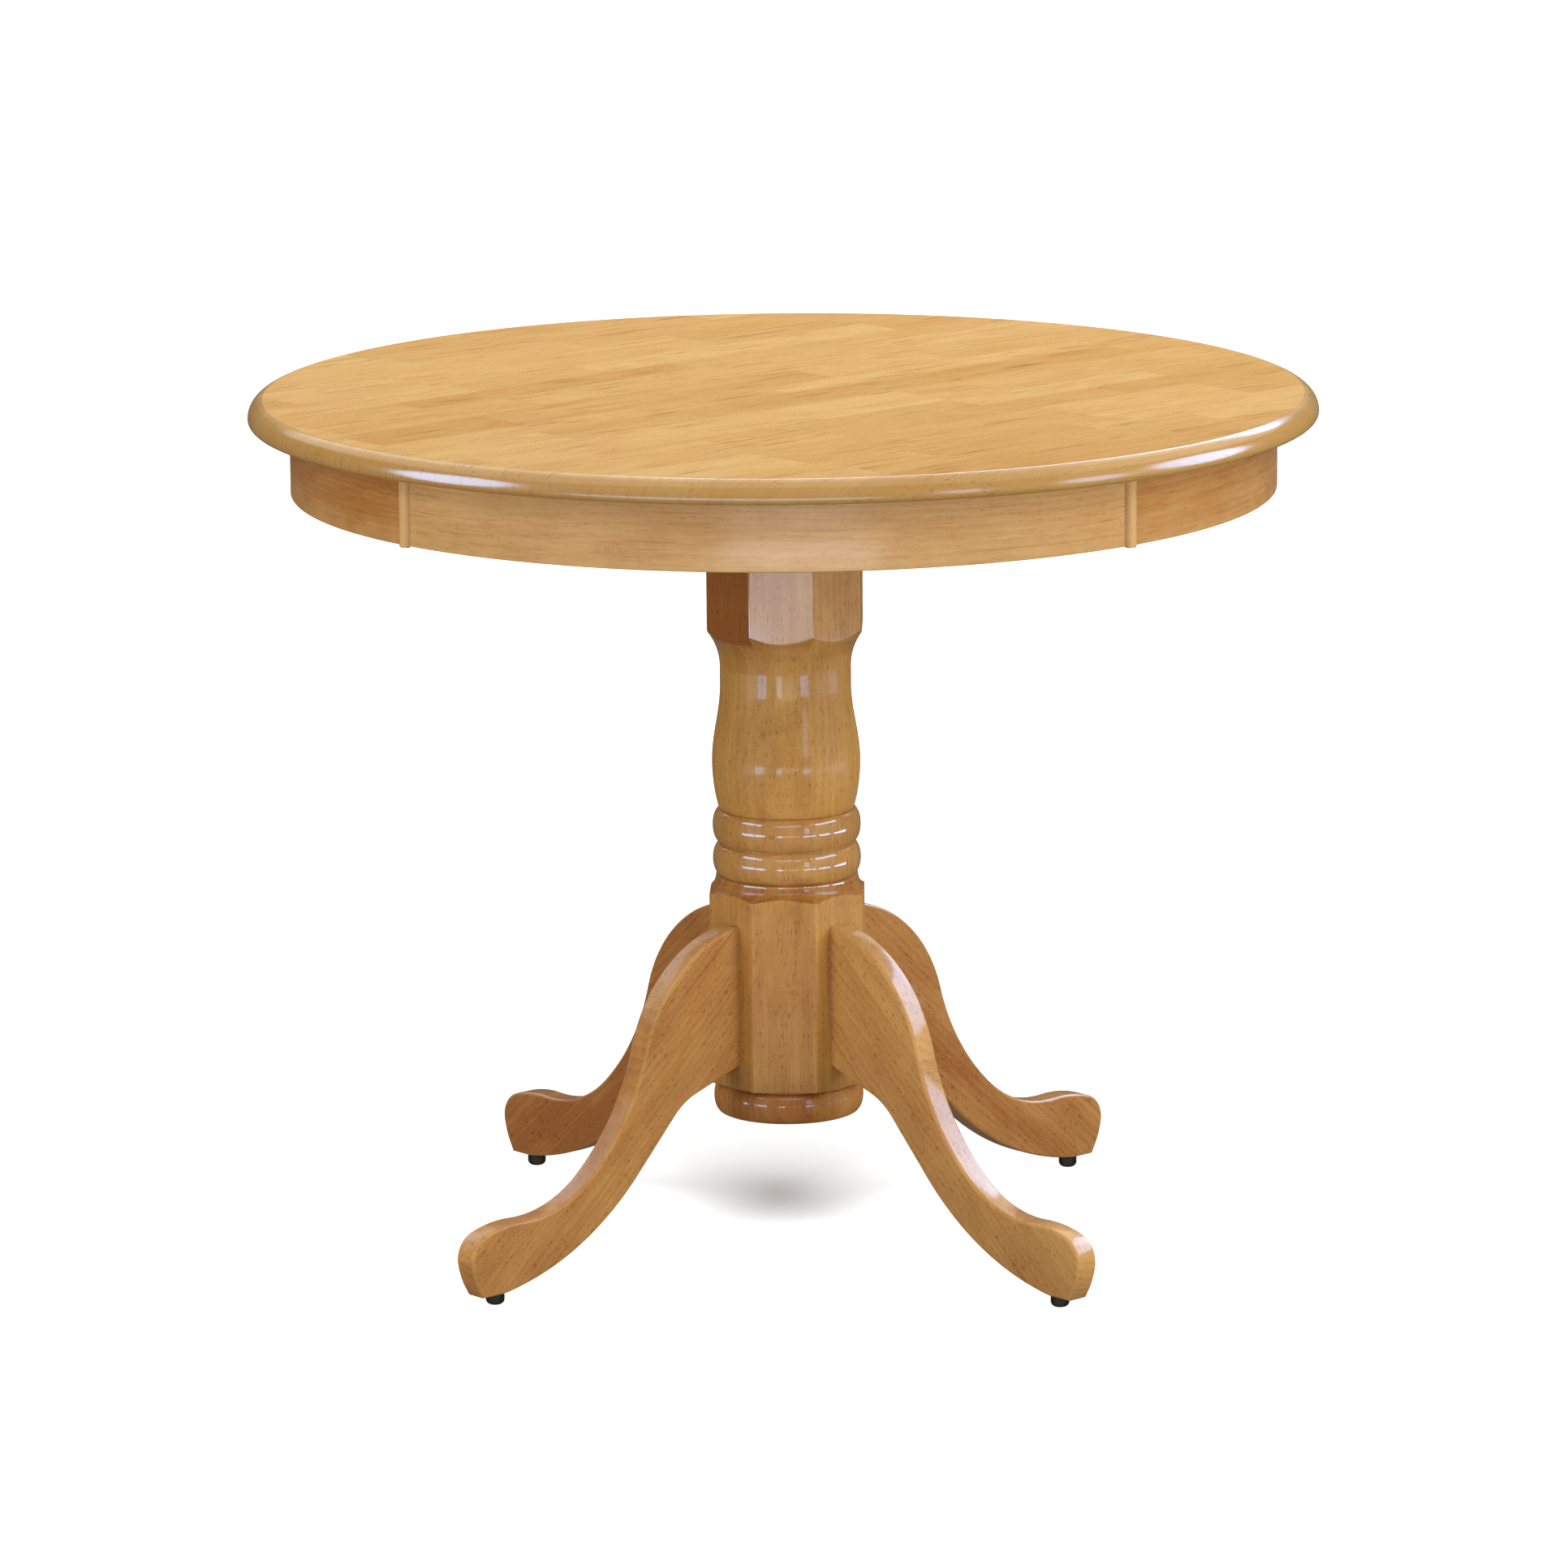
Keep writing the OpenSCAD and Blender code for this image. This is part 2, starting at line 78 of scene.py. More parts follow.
class Graph:
    """A material's node tree, with one short call for each kind of node."""

    def __init__(self, name):
        self.material = bpy.data.materials.new(name)
        self.material.use_nodes = True
        self.tree = self.material.node_tree
        self.shader = self.tree.nodes["Principled BSDF"]

    def node(self, kind, values=None, **properties):
        """A new node; values sets its inputs by name or place, with a number or a socket."""
        made = self.tree.nodes.new(kind)
        for key, value in properties.items():
            setattr(made, key, value)
        for key, value in (values or {}).items():
            self.put(made.inputs[key], value)
        return made

    def put(self, socket, value):
        if isinstance(value, bpy.types.NodeSocket):
            self.tree.links.new(value, socket)
        else:
            socket.default_value = value

    def set(self, **values):
        """Sets the shader's own sockets: Base_Color stands for Base Color, and so on."""
        for key, value in values.items():
            self.put(self.shader.inputs[key.replace("_", " ")], value)
        return self.material

    def math(self, operation, a, b=0.0, clamp=False):
        return self.node("ShaderNodeMath", {0: a, 1: b},
                         operation=operation, use_clamp=clamp).outputs[0]

    def add(self, *terms):
        total = terms[0]
        for term in terms[1:]:
            total = self.math("ADD", total, term)
        return total

    def times(self, a, b):
        return self.math("MULTIPLY", a, b)

    def ramp(self, value, low, high, to_low=0.0, to_high=1.0):
        """Maps value from low..high to to_low..to_high with soft ends, and no further."""
        return self.node("ShaderNodeMapRange",
                         {"Value": value, "From Min": low, "From Max": high,
                          "To Min": to_low, "To Max": to_high},
                         interpolation_type="SMOOTHSTEP").outputs["Result"]

    def vector(self, operation, a, b):
        return self.node("ShaderNodeVectorMath", {0: a, 1: b},
                         operation=operation).outputs[0]

    def scale(self, vector, factors):
        return self.vector("MULTIPLY", vector, factors)

    def split(self, vector):
        return self.node("ShaderNodeSeparateXYZ", {0: vector}).outputs[:3]

    def join(self, x, y, z):
        return self.node("ShaderNodeCombineXYZ", {0: x, 1: y, 2: z}).outputs[0]

    def noise(self, vector, detail=2.0, roughness=0.5):
        """Noise of about one feature per unit of vector, from 0 to 1."""
        return self.node("ShaderNodeTexNoise",
                         {"Vector": vector, "Scale": 1.0, "Detail": detail,
                          "Roughness": roughness}).outputs[0]

    def cells(self, vector):
        """Distance to the nearest of scattered points, and a random colour for each point."""
        made = self.node("ShaderNodeTexVoronoi", {"Vector": vector, "Scale": 1.0})
        return made.outputs["Distance"], made.outputs["Color"]

    def random(self, vector):
        return self.node("ShaderNodeTexWhiteNoise", {"Vector": vector}).outputs["Color"]

    def mix(self, factor, a, b, blend="MIX"):
        return self.node("ShaderNodeMix", {0: factor, 6: a, 7: b}, data_type="RGBA",
                         blend_type=blend).outputs[2]

    def bump(self, height, depth):
        """A normal from height, where a height of 1 stands depth metres out."""
        return self.node("ShaderNodeBump", {"Height": height, "Distance": depth,
                                            "Strength": 1.0}).outputs["Normal"]

    def attribute(self, name, output):
        return self.node("ShaderNodeAttribute", attribute_name=name).outputs[output]

    def object_place(self):
        return self.node("ShaderNodeTexCoord").outputs["Object"]


def rgb(red, green, blue):
    """A colour given as sRGB values from 0 to 255."""
    parts = [value / 255 for value in (red, green, blue)]
    return tuple((p / 12.92 if p <= 0.04045 else ((p + 0.055) / 1.055) ** 2.4)
                 for p in parts) + (1.0,)


# ---------------------------------------------------------------- materials

def wood_grain(g, place, tone, pale, deep, figure=1.0, pores=1.0, lines=0.0, shift=0.0):
    """Colour, roughness and height of rubberwood. place runs along, across and through
    the board in metres, so the scales are features per metre in those directions. tone
    from 0 to 1 makes the whole board deeper, and shift does so for every board."""
    _, across, through = g.split(place)
    drift = g.noise(g.scale(place, (2.2, 14.0, 14.0)), 1.0)
    stripes = g.noise(g.scale(place, (1.6, 75.0, 75.0)), 3.0, 0.6)
    blotches = g.noise(g.scale(place, (16.0, 38.0, 38.0)), 2.0, 0.55)
    fibres = g.noise(g.scale(place, (55.0, 900.0, 900.0)), 2.0, 0.65)
    # Growth rings: wavering circles about a heart that lies beside the board
    ring_width = 6.2 * MM
    heart_aside, heart_below = 11 * MM, 45 * MM
    aside = g.add(across, g.times(drift, 35 * MM), heart_aside)
    below = g.add(through, g.times(drift, 20 * MM), heart_below)
    radius = g.math("SQRT", g.add(g.times(aside, aside), g.times(below, below)))
    ring = g.math("FRACT", g.times(g.add(radius, g.times(stripes, 2 * MM)), 1 / ring_width))
    rings = g.times(g.ramp(ring, 0.0, 0.85), g.ramp(ring, 1.0, 0.85))
    # Pores: short dark dashes along the grain, fine ones all over and long ones in patches
    crowd = g.ramp(g.add(g.times(blotches, 0.7), g.times(rings, 0.3)), 0.22, 0.58)

    def dashes(scale, share, width):
        """Dashes about some of the scattered points, as share says, from 0 to 1."""
        near, chance = g.cells(g.scale(place, scale))
        kept = g.ramp(g.split(chance)[0], share + 0.15, share - 0.15)
        return g.times(g.ramp(near, width, width * 0.35), kept)

    fine = g.times(dashes((300.0, 1050.0, 1050.0), 0.6, 0.42), g.add(g.times(crowd, 0.6), 0.4))
    long = g.times(dashes((110.0, 520.0, 520.0), 0.4, 0.36), crowd)
    pore = g.times(g.math("MAXIMUM", g.times(fine, 0.7), g.times(long, 0.95)), pores)
    # Streaks: sparse long soft bands, and hair-thin dark lines in loose groups
    streak = g.ramp(g.noise(g.scale(place, (5.0, 260.0, 260.0)), 2.0, 0.7), 0.60, 0.78)
    hair = g.times(g.ramp(g.noise(g.scale(place, (14.0, 480.0, 480.0)), 1.0), 0.60, 0.72),
                   g.ramp(g.noise(g.scale(place, (9.0, 40.0, 40.0)), 1.0), 0.42, 0.60))
    depth = g.add(g.times(g.add(stripes, -0.5), 0.42 * figure),
                  g.times(g.add(blotches, -0.5), 0.62 * figure),
                  g.times(g.add(rings, -0.5), 0.10 * figure),
                  g.times(streak, 0.25 * figure),
                  g.times(g.add(fibres, -0.5), 0.55), tone, shift)
    body = g.mix(g.math("ADD", depth, 0.0, clamp=True), pale, deep)
    mark = g.math("MAXIMUM", pore, g.times(hair, lines))
    stained = g.mix(1.0, body, (0.42, 0.27, 0.16, 1), "MULTIPLY")
    colour = g.mix(g.times(mark, 0.8), body, stained)
    height = g.add(g.times(fibres, 0.25), g.times(mark, -1.0))
    rough = g.add(g.ramp(fibres, 0.3, 0.7, 0.36, 0.46), g.times(mark, 0.15))
    return colour, rough, height


def lacquered(g, colour, rough, height, place, gloss, coat, under=0.1):
    """Clear lacquer over the wood, with the faint waves of a sprayed coat. gloss is the
    coat's roughness, and under is how much the bare wood below it shines."""
    ripple = g.add(g.noise(g.scale(place, (60.0, 90.0, 90.0)), 1.0),
                   g.times(g.noise(g.scale(place, (420.0, 560.0, 560.0)), 1.0), 0.05),
                   g.times(height, 0.015))
    return g.set(Base_Color=colour, Roughness=rough, IOR=1.5, Specular_IOR_Level=under,
                 Normal=g.bump(height, 0.06 * MM),
                 Coat_Weight=coat, Coat_IOR=1.5, Coat_Roughness=gloss,
                 Coat_Normal=g.bump(ripple, 0.014 * MM))


def board_wood(name, pale, deep, gloss, strip=None, **grain):
    """Lacquered wood of boards, which carry their own grain direction, tone, edges and coat; the
    edges are paled, partly as wear and partly as a painted highlight along their roundings. A
    board glued up from strips of that width has a small step of tone between them."""
    g = Graph(name)
    place = g.attribute("grain", "Vector")
    tone = g.attribute("tone", "Fac")
    if strip:
        number = g.math("FLOOR", g.times(g.split(place)[1], 1 / strip))
        step = g.split(g.random(g.join(number, 7.0, 0.0)))[0]
        most_step = 0.34
        tone = g.add(tone, g.times(g.add(step, -0.5), most_step))
    colour, rough, height = wood_grain(g, place, tone, pale, deep, **grain)
    # Paled edges: wear, and a painted highlight along the rounded edges
    wear_and_highlight = g.times(g.attribute("edge", "Fac"),
                   g.ramp(g.noise(g.scale(place, (60.0, 60.0, 60.0))), 0.25, 0.75, 0.25, 0.6))
    colour = g.mix(wear_and_highlight, colour, g.mix(0.55, colour, pale))
    return lacquered(g, colour, rough, height, place, gloss, g.attribute("coat", "Fac"))


def top_wood(name, pale, deep, gloss, direction):
    """Lacquered top glued up from staggered short boards that run in one direction."""
    g = Graph(name)
    x, y, z = g.split(g.object_place())
    turn = math.radians(direction)
    along = g.add(g.times(x, math.cos(turn)), g.times(y, math.sin(turn)))
    across = g.add(g.times(x, -math.sin(turn)), g.times(y, math.cos(turn)))
    # Rows of boards, a little uneven in width
    row_width = 52 * MM
    row_start, row_waver = 0.37, 0.22
    row_place = g.add(g.times(across, 1 / row_width),
                      g.times(g.math("SINE", g.times(across, 37.0)), row_waver), row_start)
    row = g.math("FLOOR", row_place)
    row_random = g.split(g.random(g.join(row, 3.0, 0.0)))
    # Boards of each row, cut to uneven lengths
    board_length = 235 * MM
    most_shift, board_waver = 0.9, 0.27
    shifted = g.add(along, g.times(row_random[0], most_shift))
    wave = g.math("SINE", g.add(g.times(shifted, 11.0), g.times(row_random[1], 6.3)))
    board_place = g.add(g.times(shifted, 1 / board_length), g.times(wave, board_waver))
    board = g.math("FLOOR", board_place)
    board_random = g.random(g.join(row, board, 1.0))
    tone, turn_over, _ = g.split(board_random)
    place = g.vector("ADD", g.join(along, across, z), g.scale(board_random, (9.0, 5.0, 3.0)))
    tone = g.add(g.times(g.add(tone, -0.5), 0.40), g.times(g.math("POWER", turn_over, 6.0), 0.2))
    colour, rough, height = wood_grain(g, place, tone, pale, deep, figure=0.70, pores=0.5,
                                       lines=1.0, shift=0.40)
    # The moulded rim is painted deeper than the face, partly as stain and partly as painted
    # shade on its sideways slope; its end grain takes the most stain
    normal = g.node("ShaderNodeNewGeometry").outputs["Normal"]
    upward = g.split(normal)[2]
    on_rim = g.ramp(upward, 0.97, 0.80)
    rim_stain_and_shade = g.mix(1.0, deep, (0.85, 0.88, 0.58, 1), "MULTIPLY")
    colour = g.mix(g.times(on_rim, 0.62), colour, rim_stain_and_shade)
    toward_end = g.node("ShaderNodeVectorMath",
                        {0: normal, 1: (math.cos(turn), math.sin(turn), 0.0)},
                        operation="DOT_PRODUCT").outputs["Value"]
    end_grain = g.ramp(g.math("ABSOLUTE", toward_end), 0.5, 0.97)
    strokes = g.ramp(g.noise(g.scale(place, (20.0, 330.0, 60.0)), 2.0, 0.6), 0.5, 0.72)
    end_stain = g.mix(0.75, colour, g.mix(1.0, deep, (0.75, 0.65, 0.6, 1), "MULTIPLY"))
    colour = g.mix(g.times(end_grain, g.add(0.3, g.times(strokes, 0.6))), colour, end_stain)

    def from_joint(position, pitch):
        """Distance in metres to the nearest joint of joints that are a pitch apart."""
        part = g.math("FRACT", position)
        return g.times(g.math("MINIMUM", part, g.math("SUBTRACT", 1.0, part)), pitch)

    # Hair-thin glue lines
    gap = g.math("MINIMUM", from_joint(row_place, row_width),
                 from_joint(board_place, board_length))
    line = g.ramp(gap, 0.7 * MM, 0.1 * MM)
    colour = g.mix(g.times(line, 0.34), colour, deep)
    height = g.add(height, g.times(line, -0.6))
    # The face is rubbed down until it has almost no coat; the gloss begins at the arris
    glossy = g.ramp(upward, 0.9995, 0.99, 0.03, 1.0)
    return lacquered(g, colour, rough, height, place, gloss, glossy, under=0.0)


def plain_wood(name, pale, deep, coat):
    """Wood of the inner pieces, which keep their CAD shape; sealed with a thin matt coat."""
    g = Graph(name)
    place = g.object_place()
    colour, rough, height = wood_grain(g, place, 0.5, pale, deep, figure=0.8)
    return g.set(Base_Color=colour, Roughness=g.add(rough, 0.15), IOR=1.5,
                 Normal=g.bump(height, 0.08 * MM), Coat_Weight=coat, Coat_Roughness=0.3)


def metal(name, tint, shadow):
    """Metal with fine scratches, and patches of grime that dull it."""
    g = Graph(name)
    place = g.object_place()
    patches = g.noise(g.scale(place, (140.0, 140.0, 140.0)), 3.0)
    drawn = g.noise(g.scale(place, (2200.0, 2200.0, 240.0)), 2.0)
    grime = g.ramp(patches, 0.55, 0.8)
    return g.set(Base_Color=g.mix(g.times(grime, 0.6), tint, shadow), Metallic=1.0,
                 Roughness=g.add(g.ramp(drawn, 0.3, 0.7, 0.2, 0.34), g.times(grime, 0.2)),
                 Normal=g.bump(drawn, 0.02 * MM))


def black_plastic(name):
    """Moulded plastic with a fine skin and patches of dust."""
    g = Graph(name)
    place = g.object_place()
    skin = g.noise(g.scale(place, (1800.0, 1800.0, 1800.0)), 2.0)
    dust = g.ramp(g.noise(g.scale(place, (160.0, 160.0, 160.0)), 3.0), 0.55, 0.8)
    return g.set(Base_Color=g.mix(g.times(dust, 0.3), rgb(14, 14, 15), rgb(52, 50, 47)),
                 Roughness=g.add(g.ramp(skin, 0.3, 0.7, 0.2, 0.3), g.times(dust, 0.2)),
                 IOR=1.5, Normal=g.bump(skin, 0.01 * MM), Coat_Weight=0.4,
                 Coat_Roughness=0.1)


TOP = top_wood("top_wood", rgb(211, 175, 119), rgb(178, 129, 69), 0.16, direction=45)
APRON = board_wood("apron_wood", rgb(226, 184, 124), rgb(174, 114, 54), 0.18,
                   figure=0.8, pores=0.5, lines=0.4)
COLUMN = board_wood("column_wood", rgb(216, 166, 92), rgb(158, 94, 34), 0.08,
                    figure=1.0, pores=0.95)
LEG = board_wood("leg_wood", rgb(216, 164, 97), rgb(162, 100, 49), 0.15, strip=55 * MM,
                 figure=1.1, pores=1.1, lines=0.3)
HIDDEN = plain_wood("hidden_wood", rgb(222, 188, 138), rgb(178, 132, 82), 0.15)
ZINC = metal("zinc_steel", rgb(196, 196, 190), rgb(120, 116, 104))
BRASS = metal("insert_brass", rgb(214, 172, 96), rgb(120, 92, 46))
PLASTIC = black_plastic("black_plastic")


# ---------------------------------------------------------------- mesh helpers

def arc(centre, radius, start, end, steps):
    """Points of an arc in the plane, with angles in degrees."""
    a = np.radians(np.linspace(start, end, steps + 1))
    return np.stack([centre[0] + radius * np.cos(a), centre[1] + radius * np.sin(a)], 1)


def turned(points, degrees):
    """Points turned about the Z axis."""
    a = math.radians(degrees)
    turn = np.array([[math.cos(a), math.sin(a), 0], [-math.sin(a), math.cos(a), 0], [0, 0, 1]])
    return points @ turn


def stacked_loops(loops):
    """Points and faces of a closed solid whose skin runs through equal closed loops."""
    count, size = len(loops), len(loops[0])
    faces = [(i * size + j, i * size + (j + 1) % size,
              (i + 1) * size + (j + 1) % size, (i + 1) * size + j)
             for i in range(count - 1) for j in range(size)]
    caps = [tuple(range(size))[::-1], tuple(range((count - 1) * size, count * size))]
    return np.concatenate(loops), faces + caps


def revolved(outline, segments):
    """Points and faces of a solid of revolution, whose outline of (radius, height) points
    begins and ends on the axis."""
    a = np.linspace(0, 2 * math.pi, segments, endpoint=False)
    rings = [np.stack([r * np.cos(a), r * np.sin(a), np.full(segments, z)], 1)
             for r, z in outline[1:-1]]
    points = np.concatenate([*rings, [[0, 0, outline[0][1]], [0, 0, outline[-1][1]]]])
    first, last = len(points) - 2, len(points) - 1
    start = (len(rings) - 1) * segments
    faces = [(i * segments + j, i * segments + (j + 1) % segments,
              (i + 1) * segments + (j + 1) % segments, (i + 1) * segments + j)
             for i in range(len(rings) - 1) for j in range(segments)]
    faces += [(first, (j + 1) % segments, j) for j in range(segments)]
    faces += [(last, start + j, start + (j + 1) % segments) for j in range(segments)]
    return points, faces


def piece(name, points, faces, material, node, grain=None, edge=0.0, tone=0.5,
          coat=1.0, sharp=30):
    """A finished mesh that rides on the table and stands for one CAD node. The board woods
    read grain, each point's place in its board, and edge, tone and coat, each of which is
    one value or one for each point. Edges sharper than sharp degrees aren't smoothed."""
    mesh = bpy.data.meshes.new(name)
    mesh.from_pydata(points.tolist(), [], faces)
    work = bmesh.new()
    work.from_mesh(mesh)
    bmesh.ops.recalc_face_normals(work, faces=work.faces)
    work.to_mesh(mesh)
    work.free()
    mesh.shade_smooth()
    mesh.set_sharp_from_angle(angle=math.radians(sharp))
    if grain is not None:
        mesh.attributes.new("grain", "FLOAT_VECTOR", "POINT").data.foreach_set(
            "vector", np.ascontiguousarray(grain, np.float32).ravel())
        for key, values in (("tone", tone), ("edge", edge), ("coat", coat)):
            mesh.attributes.new(key, "FLOAT", "POINT").data.foreach_set(
                "value", np.broadcast_to(np.float32(values), len(points)).copy())
    mesh.materials.append(material)
    made = bpy.data.objects.new(name, mesh)
    bpy.context.scene.collection.objects.link(made)
    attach(made, "root")
    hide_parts(node)


# ---------------------------------------------------------------- sizes

top_low, top_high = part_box("table_top")
apron_low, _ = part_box("apron_front")
stave_low, stave_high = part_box("column_stave_front")
leg_low, leg_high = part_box("leg_front_left")

TOP_R = top_high.x
TOP_Z = top_high.z
TOP_UNDER = top_low.z
APRON_R = -apron_low.y
APRON_Z = apron_low.z
APRON_T = 20 * MM
FLAT_R = -stave_low.y                     # the column's centre line to its flats
COLUMN_Z0 = stave_low.z
COLUMN_Z1 = stave_high.z
STAVE_T = 26 * MM
HALF_STAVE = math.radians(22.5)
FOOT_Z = leg_low.z
LEG_TOP = leg_high.z
GLIDE_R = 337.5 * MM                      # the table's centre line to a glide's


# ---------------------------------------------------------------- top

def table_top():
    """A disc whose rim falls away from an arris in one arc, and is eased below."""
    rim_w = 12.2 * MM
    slope = 15                            # degrees at which the rim leaves the face
    broken = 1                            # degrees of its arc lost where the arris is broken
    rim_r = rim_w / (1 - math.sin(math.radians(slope)))
    rim_centre = (TOP_R - rim_r, TOP_Z - rim_r * math.cos(math.radians(slope)))
    under_r = 4.3 * MM
    arris = rim_centre[0] + rim_r * math.sin(math.radians(slope))
    face = [(r, TOP_Z) for r in (0, 0.04, 0.12, 0.22, 0.32, 0.40, 0.435, arris - 3 * MM,
                                 arris - 1.2 * MM)]
    rim = arc(rim_centre, rim_r, 90 - slope - broken, 0, 30)
    under = arc((TOP_R - under_r, TOP_UNDER + under_r), under_r, 0, -90, 10)
    below = [(r, TOP_UNDER) for r in (0.445, 0.42, 0.30, 0.15, 0)]
    points, faces = revolved([*face, *rim, *under, *below], 400)
    piece("top_panel", points, faces, TOP, "table_top", sharp=40)


# ---------------------------------------------------------------- apron

# The number of a board, here and below, gives it a stretch of grain of its own

def apron_segment(side, angle, number, tone, coat):
    """One quarter of the bent ring, with its lower edges eased."""
    ease = 1.2 * MM
    inner = APRON_R - APRON_T
    section = np.concatenate([
        [[APRON_R, TOP_UNDER], [APRON_R, (TOP_UNDER + APRON_Z) / 2]],
        arc((APRON_R - ease, APRON_Z + ease), ease, 0, -90, 5),
        arc((inner + ease, APRON_Z + ease), ease, 270, 180, 5),
        [[inner, TOP_UNDER]]])
    # The eased lower edges are paled through edge: wear and a painted highlight
    rounding = np.hypot(*(section - [APRON_R, APRON_Z]).T) < 2 * ease
    seam = 0.15 * MM / APRON_R            # half the hairline gap at each end, as an angle
    r, z = section.T
    loops, grains = [], []
    for a in np.linspace(-math.pi / 4 + seam, math.pi / 4 - seam, 121):
        loops.append(np.stack([r * math.cos(a), r * math.sin(a), z], 1))
        grains.append(np.stack([np.full(len(r), a * APRON_R + 2.3 * number),
                                z + 0.7 * number, r], 1))
    points, faces = stacked_loops(loops)
    piece(f"apron_{side}_board", turned(points, angle), faces, APRON, f"apron_{side}",
          np.concatenate(grains), np.tile(rounding, len(loops)), tone, coat)


def apron_bead(corner, angle, number):
    """Half-round strip over an apron joint, with its lower end rounded."""
    width, out = 12 * MM, 4.8 * MM
    # edge pales the whole strip a little: wear and a painted highlight
    tone, edge = 0.25, 0.35
    radius = (width * width / 4 + out * out) / (2 * out)
    centre = APRON_R + out - radius
    half = math.degrees(math.asin(width / 2 / radius))
    low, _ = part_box(f"apron_bead_{corner}")
    ease = 0.9 * MM
    loops, grains = [], []
    levels = [(low.z + ease * (1 - math.sin(a)), ease * (1 - math.cos(a)))
              for a in np.radians([90, 67, 45, 22, 0])]
    levels += [(low.z + (TOP_UNDER - low.z) * t, 0.0) for t in (0.25, 0.5, 0.75, 1.0)]
    for z, inset in levels:
        skin = arc((centre, 0.0), radius - inset, -half, half, 22)
        loops.append(np.column_stack([skin, np.full(len(skin), z)]))
        grains.append(np.column_stack([np.full(len(skin), z + 1.7 * number), skin[:, 1],
                                       skin[:, 0] + 0.4 * number]))
    points, faces = stacked_loops(loops)
    piece(f"apron_bead_{corner}_strip", turned(points, angle), faces, APRON,
          f"apron_bead_{corner}", np.concatenate(grains), edge, tone)


# ---------------------------------------------------------------- column

# The turning, from the top down: a cove below the upper block, the neck, the belly of the
# vase, two beads between three grooves, a small cove above the lower block, and the base ring
COVE_Z, COVE_R = 503.5 * MM, 51 * MM
NECK_Z, NECK_R = 488 * MM, 56.5 * MM
BELLY_Z, BELLY_R = 421 * MM, 64 * MM
TOP_GROOVE, MID_GROOVE, LOW_GROOVE = 380 * MM, 350 * MM, 321.5 * MM
GROOVE_R, HALF_GROOVE = 57.5 * MM, 0.5 * MM
TURNING_END = LOW_GROOVE - HALF_GROOVE
FOOT_R, FOOT_COVE_R = 61.5 * MM, 14 * MM
FOOT_COVE_END = LOW_GROOVE - 20 * MM      # lower than that cove reaches
RING_Z = 139 * MM


def half_round(z1, z0, r_in, r_out, steps=22):
    """A bead between two grooves, as half of an ellipse, from the top down."""
    a = np.linspace(0, math.pi, steps + 1)
    return np.stack([r_in + (r_out - r_in) * np.sin(a),
                     (z1 + z0) / 2 + (z1 - z0) / 2 * np.cos(a)], 1)


def turning():
    """The turned middle of the column as (radius, height), from cove to lowest groove."""
    rise = np.linspace(0, 1, 25)
    vase_top = np.stack([NECK_R + (BELLY_R - NECK_R) * (1 - np.cos(math.pi * rise)) / 2,
                         NECK_Z + (BELLY_Z - NECK_Z) * rise], 1)
    vase_r = 155 * MM
    drop = (BELLY_Z - TOP_GROOVE) * rise[1:]
    vase_low = np.stack([BELLY_R - vase_r + np.sqrt(vase_r ** 2 - drop ** 2),
                         BELLY_Z - drop], 1)
    return np.concatenate([
        [[NECK_R, COVE_Z], [NECK_R, (COVE_Z + NECK_Z) / 2]], vase_top, vase_low,
        half_round(TOP_GROOVE - HALF_GROOVE, MID_GROOVE + HALF_GROOVE, GROOVE_R, BELLY_R),
        half_round(MID_GROOVE - HALF_GROOVE, LOW_GROOVE + HALF_GROOVE, GROOVE_R, BELLY_R),
        [[FOOT_R, TURNING_END]]])


def octagon_radius(angle):
    """Distance to the octagon at an angle from the middle of a flat, corners rounded."""
    ease = 2.2 * MM
    corner = (FLAT_R - ease) / math.cos(HALF_STAVE)
    off = HALF_STAVE - np.abs(angle)
    rounded = corner * np.cos(off) + np.sqrt(np.maximum(ease ** 2
                                                       - (corner * np.sin(off)) ** 2, 0))
    flat = FLAT_R / np.cos(angle)
    tangent = math.atan((FLAT_R - ease) * math.tan(HALF_STAVE) / FLAT_R)
    return np.where(np.abs(angle) > tangent, rounded, flat)


